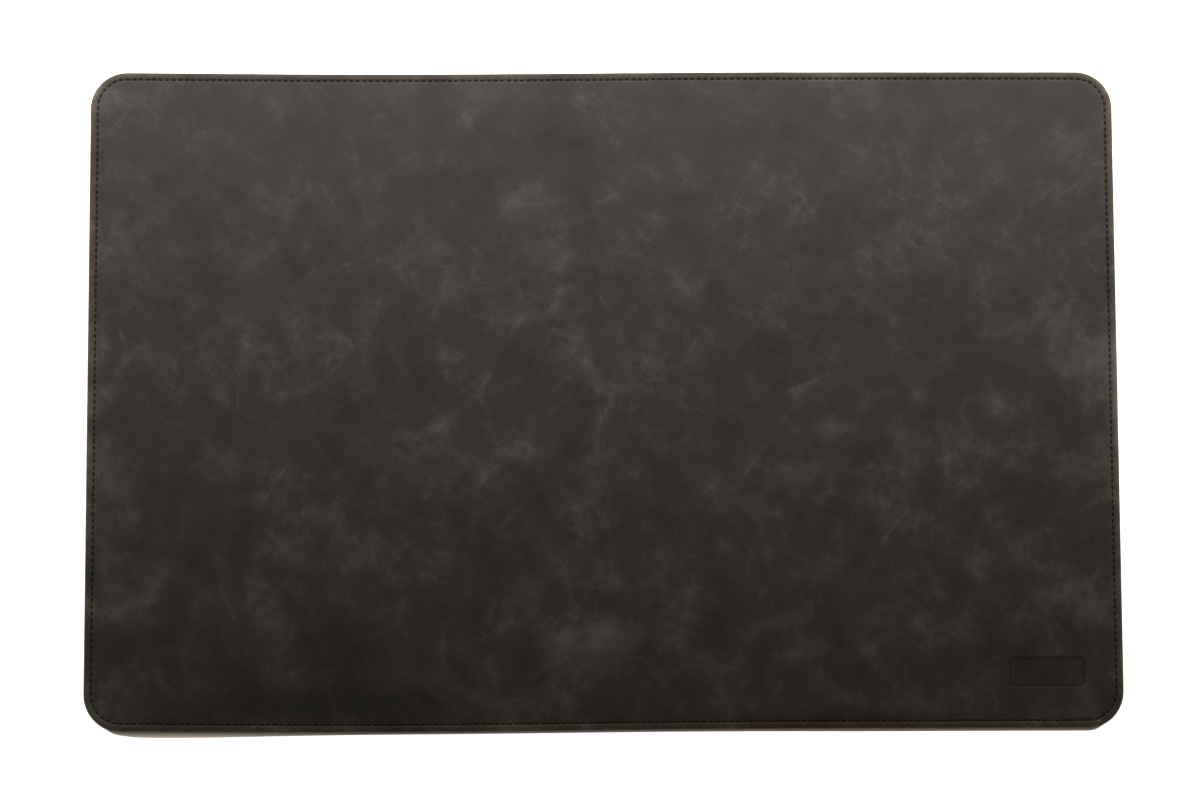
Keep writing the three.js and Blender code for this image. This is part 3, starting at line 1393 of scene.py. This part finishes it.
@dataclass(frozen=True)
class Studio:
    """A white sweep, soft light from behind the pad, and the camera above its near side."""

    path: SeamPath
    lay: Lay
    camera_place: tuple[float, float, float] = (-53.13 * MM, -322.44 * MM, 2580.74 * MM)
    camera_turn: tuple[float, float, float] = (7.092, -1.095, -0.234)
    lens: float = 114.77
    sensor: float = 36.0
    floor_radius: float = 5.0
    floor_shares: tuple[float, ...] = (0.25, 0.5, 0.75)
    floor_step: float = 2 * MM
    cove_radius: float = 1.5
    cove_turns: tuple[float, ...] = tuple(range(0, 91, 10))
    wall_height: float = 3.0
    floor_colour: Colour = (0.90, 0.87, 0.84)
    # Colours of the shadow painted on the floor along the pad's edge.
    contact_shade: Colour = linear(70, 62, 53)
    wide_shade: Colour = linear(152, 142, 131)
    wide: float = 3.4 * MM
    front_shade: float = 0.8 * MM
    front_facing: tuple[float, float] = (0.9, 1.0)
    front_from: tuple[float, float] = (-0.345, -0.31)
    left_shade: float = 2.7 * MM
    left_middle: float = -0.30
    left_reach: float = 0.09
    right_shade: float = 0.6 * MM
    right_from: tuple[float, float] = (0.0, 0.2)
    side_shade: float = 0.1 * MM
    shade_edge: float = 0.5 * MM
    under_pad: float = 8 * MM
    beyond_pad: float = 10 * MM
    sky: float = 0.095
    lamps: tuple[Lamp, ...] = (
        Lamp("back_softbox", (0.0, 0.55, 0.9), (0.0, 0.55, 0.0), (2.4, 0.45), 11.8, 105.0),
        Lamp("back_strip", (0.0, 0.34, 0.12), (0.0, 0.1, 0.0), (1.6, 0.05), 0.9),
        Lamp("top_softbox", (0.0, 0.3, 2.2), (0.0, 0.1, 0.0), (1.6, 1.2), 1.3),
    )

    def build(self) -> None:
        """Builds the sweep, the light and the camera."""
        self.make_sweep()
        self.make_sky()
        for lamp in self.lamps:
            lamp.build()
        self.make_camera()

    def shade_width(self, flat: np.ndarray, outward: np.ndarray) -> np.ndarray:
        """How wide the painted shadow on the floor is along the pad: most under the raised front left.

        Args:
            flat: Points on the seam, two numbers each.
            outward: The outward directions there.

        Returns:
            The widths.
        """
        x = flat[:, 0]
        front = smooth_step(-outward[:, 1], *self.front_facing) * smooth_step(x, *self.front_from)
        lifted = self.left_shade * np.exp(-(((x - self.left_middle) / self.left_reach) ** 2))
        lifted = lifted + self.right_shade * smooth_step(x, *self.right_from)
        return self.side_shade + front * (self.front_shade + lifted)

    def floor_rings(self) -> tuple[list[np.ndarray], list[np.ndarray]]:
        """The floor's rings out from under the pad, with the colours that they show: a painted shadow
        near the pad, white beyond.

        Returns:
            The rings and their colours, three numbers a point.
        """
        along = np.arange(0.0, self.path.perimeter, self.floor_step)
        flat, outward = self.path.stations(along)
        width = self.shade_width(flat, outward)
        contact, outer = np.array(self.contact_shade), np.array(self.wide_shade)
        rings = []
        colours = []
        shaded = (0 * width - self.under_pad, 0 * width, width / 2, width)
        for away in (*shaded, width + self.shade_edge, width + self.beyond_pad):
            spots = flat + outward * (self.path.inset + away)[:, None]
            rings.append(self.lay.apply(at_level(spots, 0.0)) * np.array([1.0, 1.0, 0.0]))
            shade = contact + np.maximum(away, 0.0)[:, None] / self.wide * (outer - contact)
            colours.append(np.where((away <= width)[:, None], shade, 1.0))
        turn = np.arctan2(flat[:, 1], flat[:, 0])
        profile = [(self.floor_radius * share, 0.0) for share in self.floor_shares]
        for angle in np.radians(self.cove_turns):
            out = self.floor_radius + self.cove_radius * math.sin(angle)
            profile.append((out, self.cove_radius * (1 - math.cos(angle))))
        profile.append((self.floor_radius + self.cove_radius, self.wall_height))
        for out, level in profile:
            circle = np.stack([out * np.cos(turn), out * np.sin(turn)], axis=1)
            rings.append(at_level(circle, level))
            colours.append(np.ones((len(along), 3)))
        return rings, colours

    def make_sweep(self) -> None:
        """Lays a white floor that curves up into a wall all round, with a painted shadow along the
        pad.
        """
        rings, colours = self.floor_rings()
        size = len(rings[0])
        skin = Skin()
        skin.add_points(np.concatenate(rings))
        skin.add_bands(0, len(rings), size)
        skin.faces = [face[::-1] for face in skin.faces]
        skin.add_faces([list(range(size))])
        mesh = bpy.data.meshes.new("sweep")
        mesh.from_pydata(np.concatenate(skin.points).tolist(), [], skin.faces)
        mesh.shade_smooth()
        store(mesh, "shade", np.insert(np.concatenate(colours), 3, 1.0, axis=1))
        mesh.materials.append(self.sweep_material())
        link(bpy.data.objects.new("sweep", mesh))

    def sweep_material(self) -> bpy.types.Material:
        """White all over to the camera, apart from the narrow painted shadow along the pad's edge.

        Returns:
            The material.
        """
        graph = Graph("white_sweep")
        shade = graph.stored("shade", "Color")
        paint = graph.vector("MULTIPLY", shade, self.floor_colour)
        white = graph.add("ShaderNodeBsdfDiffuse", {"Color": paint})
        path = graph.add("ShaderNodeLightPath")
        seen = path.outputs["Is Camera Ray"]
        for name in ("Is Glossy Ray", "Is Transmission Ray"):
            seen = graph.math("MAXIMUM", seen, path.outputs[name])
        glow = graph.add("ShaderNodeEmission", {"Color": shade, "Strength": seen})
        both = graph.add("ShaderNodeAddShader", {0: white.outputs[0], 1: glow.outputs[0]})
        graph.feed(graph.output.inputs["Surface"], both.outputs[0])
        graph.tree.nodes.remove(graph.shader)
        return graph.material

    def make_sky(self) -> None:
        """Sets a weak even light all round."""
        world = bpy.data.worlds.new("sky")
        bpy.context.scene.world = world
        world.use_nodes = True
        ground = next(n for n in world.node_tree.nodes if n.type == "BACKGROUND")
        ground.inputs["Color"].default_value = (1.0, 1.0, 1.0, 1.0)
        ground.inputs["Strength"].default_value = self.sky

    def make_camera(self) -> None:
        """Sets the camera where the pad was seen from."""
        data = bpy.data.cameras.new("camera")
        data.lens = self.lens
        data.sensor_width = self.sensor
        data.clip_end = 50.0
        camera = link(bpy.data.objects.new("camera", data))
        camera.location = self.camera_place
        camera.rotation_euler = Euler([math.radians(a) for a in self.camera_turn])
        bpy.context.scene.camera = camera
        bpy.context.scene.view_settings.view_transform = "Standard"


def main() -> None:
    """Builds the pad from the underside up, then the studio round it."""
    logging.basicConfig(level=logging.INFO, format="%(name)s: %(message)s")
    low, high = CAD_BOX
    path = SeamPath(length=high.x - low.x, width=high.y - low.y)
    lay = Lay()
    face = FaceLeather(path, lay, "face_leather", "charcoal_leather")
    backing = BackingSuede(path, lay, "backing_suede", "dark_suede")
    core = CoreBoard(path, lay, "core_board", "leather_board")
    paint = EdgePaint(path, lay, "edge_paint", "edge_paint")
    needle = SeamThread(
        path,
        lay,
        "needle_thread",
        "black_thread",
        side=Side.TOP,
        surface=face.top - face.pillow_drop,
    )
    bobbin = SeamThread(
        path,
        lay,
        "bobbin_thread",
        "black_thread",
        side=Side.UNDER,
        surface=backing.bottom,
        radius=0.26 * MM,
        sunk=0.34 * MM,
        dive=0.4 * MM,
        corners=8,
        sections=9,
        seed=11,
    )
    for part in (backing, core, face, paint, bobbin, needle):
        part.dress(part.build())
    Studio(path, lay).build()


if __name__ == "__main__":
    main()
